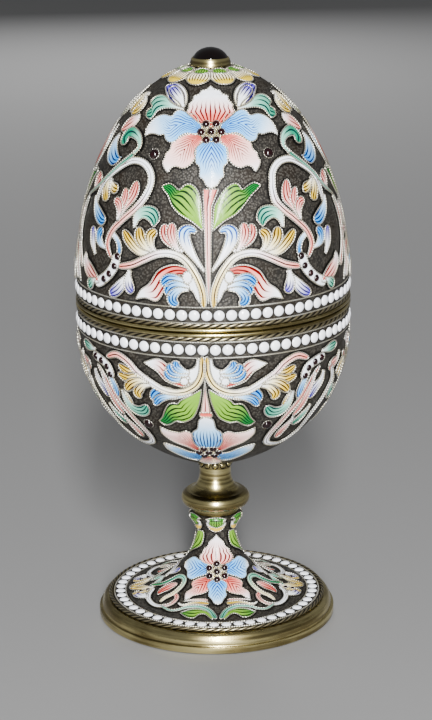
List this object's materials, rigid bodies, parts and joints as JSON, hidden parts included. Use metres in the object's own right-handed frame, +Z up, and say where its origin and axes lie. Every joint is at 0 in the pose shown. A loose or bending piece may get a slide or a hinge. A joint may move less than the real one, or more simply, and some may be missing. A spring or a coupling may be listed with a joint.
{
  "type": "enamelled egg box on a foot",
  "caption": "Hollow decorative egg that opens at the middle, with a lift-off lid, a cup, a knopped stem and a round trumpet foot.",
  "frame": {"origin": "centre of the underside of the base rim, where the egg stands", "axes": "+Z up along the egg's axis of turning, -Y towards the side with the flower and stem"},
  "size_m": [0.0574, 0.0574, 0.1213],
  "materials": {
    "silver_and_enamel": "silver ground with shaded enamel",
    "white_enamel": "opaque white enamel beads",
    "silver_gilt": "polished gilding",
    "twisted_wire": "twisted gilt wire, darkened in its grooves",
    "dark_stone": "polished, nearly black red stone"
  },
  "bodies": {
    "root": {"base_rim": "silver_gilt", "foot_twisted_wire": "twisted_wire", "pedestal": "silver_and_enamel", "foot_bead_row": "white_enamel", "knop": "silver_gilt", "cup": "silver_and_enamel", "cup_bead_row": "white_enamel", "cup_twisted_wire": "twisted_wire", "cup_rim": "silver_gilt", "lid_rim": "silver_gilt", "lid_twisted_wire": "twisted_wire", "lid_bead_row": "white_enamel", "lid": "silver_and_enamel", "finial_collet": "silver_gilt", "finial_stone": "dark_stone"}
  },
  "joints": []
}
